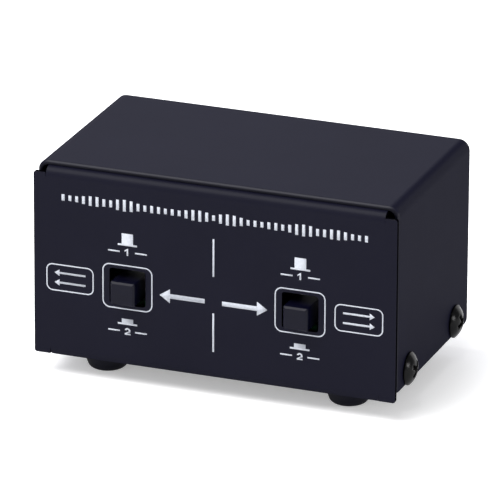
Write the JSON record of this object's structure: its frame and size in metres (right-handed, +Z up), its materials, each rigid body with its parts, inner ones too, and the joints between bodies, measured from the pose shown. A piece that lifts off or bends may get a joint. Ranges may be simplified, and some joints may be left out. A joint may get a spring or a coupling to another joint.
{
  "type": "audio source selector",
  "caption": "Small black folded-steel box with latching push buttons on its front panel and phono sockets behind, which switches stereo line signals by hand.",
  "frame": {"origin": "under the middle of the outer box, at the height of the feet's soles", "axes": "+Z up, the front panel with the buttons faces -Y, +X to the right as seen from the front"},
  "size_m": [0.108, 0.0724, 0.0606],
  "materials": {
    "case_coat": "satin black powder coat with a faint blue cast",
    "screw_black": "black oxide, glossy",
    "foot_rubber": "matt black rubber",
    "cap_black": "fine satin moulded plastic",
    "moulded_black": "moulded black plastic",
    "nickel": "bright nickel plate",
    "zinc_steel": "zinc plated steel",
    "contact_brass": "bright brass",
    "socket_white": "white moulded plastic",
    "socket_red": "red moulded plastic",
    "board_green": "green solder mask over glass fibre board",
    "phenolic": "brown phenolic board"
  },
  "bodies": {
    "case": {"chassis_front": "case_coat", "chassis_floor": "case_coat", "chassis_rear": "case_coat", "cover": "case_coat", "side_screws": "screw_black", "clinch_nuts": "zinc_steel", "feet": "foot_rubber", "foot_screws": "zinc_steel", "standoffs": "contact_brass", "circuit_board": "board_green", "board_screws": "zinc_steel", "jack_screws": "zinc_steel", "output_switch_housing": "zinc_steel", "output_switch_base": "phenolic", "output_switch_terminals": "contact_brass", "output_return_spring": "zinc_steel", "output_jack_housing": "moulded_black", "output_jack_shells": "nickel", "output_left_inserts": "socket_white", "output_right_inserts": "socket_red", "output_jack_contacts": "contact_brass", "output_ground_plate": "zinc_steel", "input_switch_housing": "zinc_steel", "input_switch_base": "phenolic", "input_switch_terminals": "contact_brass", "input_return_spring": "zinc_steel", "input_jack_housing": "moulded_black", "input_jack_shells": "nickel", "input_left_inserts": "socket_white", "input_right_inserts": "socket_red", "input_jack_contacts": "contact_brass", "input_ground_plate": "zinc_steel"},
    "output_button": {"output_plunger": "cap_black", "output_contact_clips": "contact_brass", "output_button_cap": "cap_black"},
    "output_latch": {"output_latch_lever": "zinc_steel"},
    "input_button": {"input_plunger": "cap_black", "input_contact_clips": "contact_brass", "input_button_cap": "cap_black"},
    "input_latch": {"input_latch_lever": "zinc_steel"}
  },
  "joints": [
    {"name": "output_button_slide", "type": "slide", "parent": "case", "child": "output_button", "axis": [0, 1, 0], "range_m": [0, 0.003], "stiffness_N_per_m": 300, "springref_m": -0.003, "deforming": ["output_return_spring"]},
    {"name": "output_latch_swing", "type": "hinge", "parent": "case", "child": "output_latch", "pos_m": [-0.0248, -0.00065, 0.031], "axis": [0, 0, 1], "range_deg": [0, 7]},
    {"name": "input_button_slide", "type": "slide", "parent": "case", "child": "input_button", "axis": [0, 1, 0], "range_m": [0, 0.003], "stiffness_N_per_m": 300, "springref_m": -0.003, "deforming": ["input_return_spring"]},
    {"name": "input_latch_swing", "type": "hinge", "parent": "case", "child": "input_latch", "pos_m": [0.0248, -0.00065, 0.031], "axis": [0, 0, 1], "range_deg": [0, 7]}
  ],
  "couplings": [
    {"joint": "output_latch_swing", "follows": "output_button_slide", "rad_per_m": 40.097},
    {"joint": "input_latch_swing", "follows": "input_button_slide", "rad_per_m": 40.097}
  ]
}
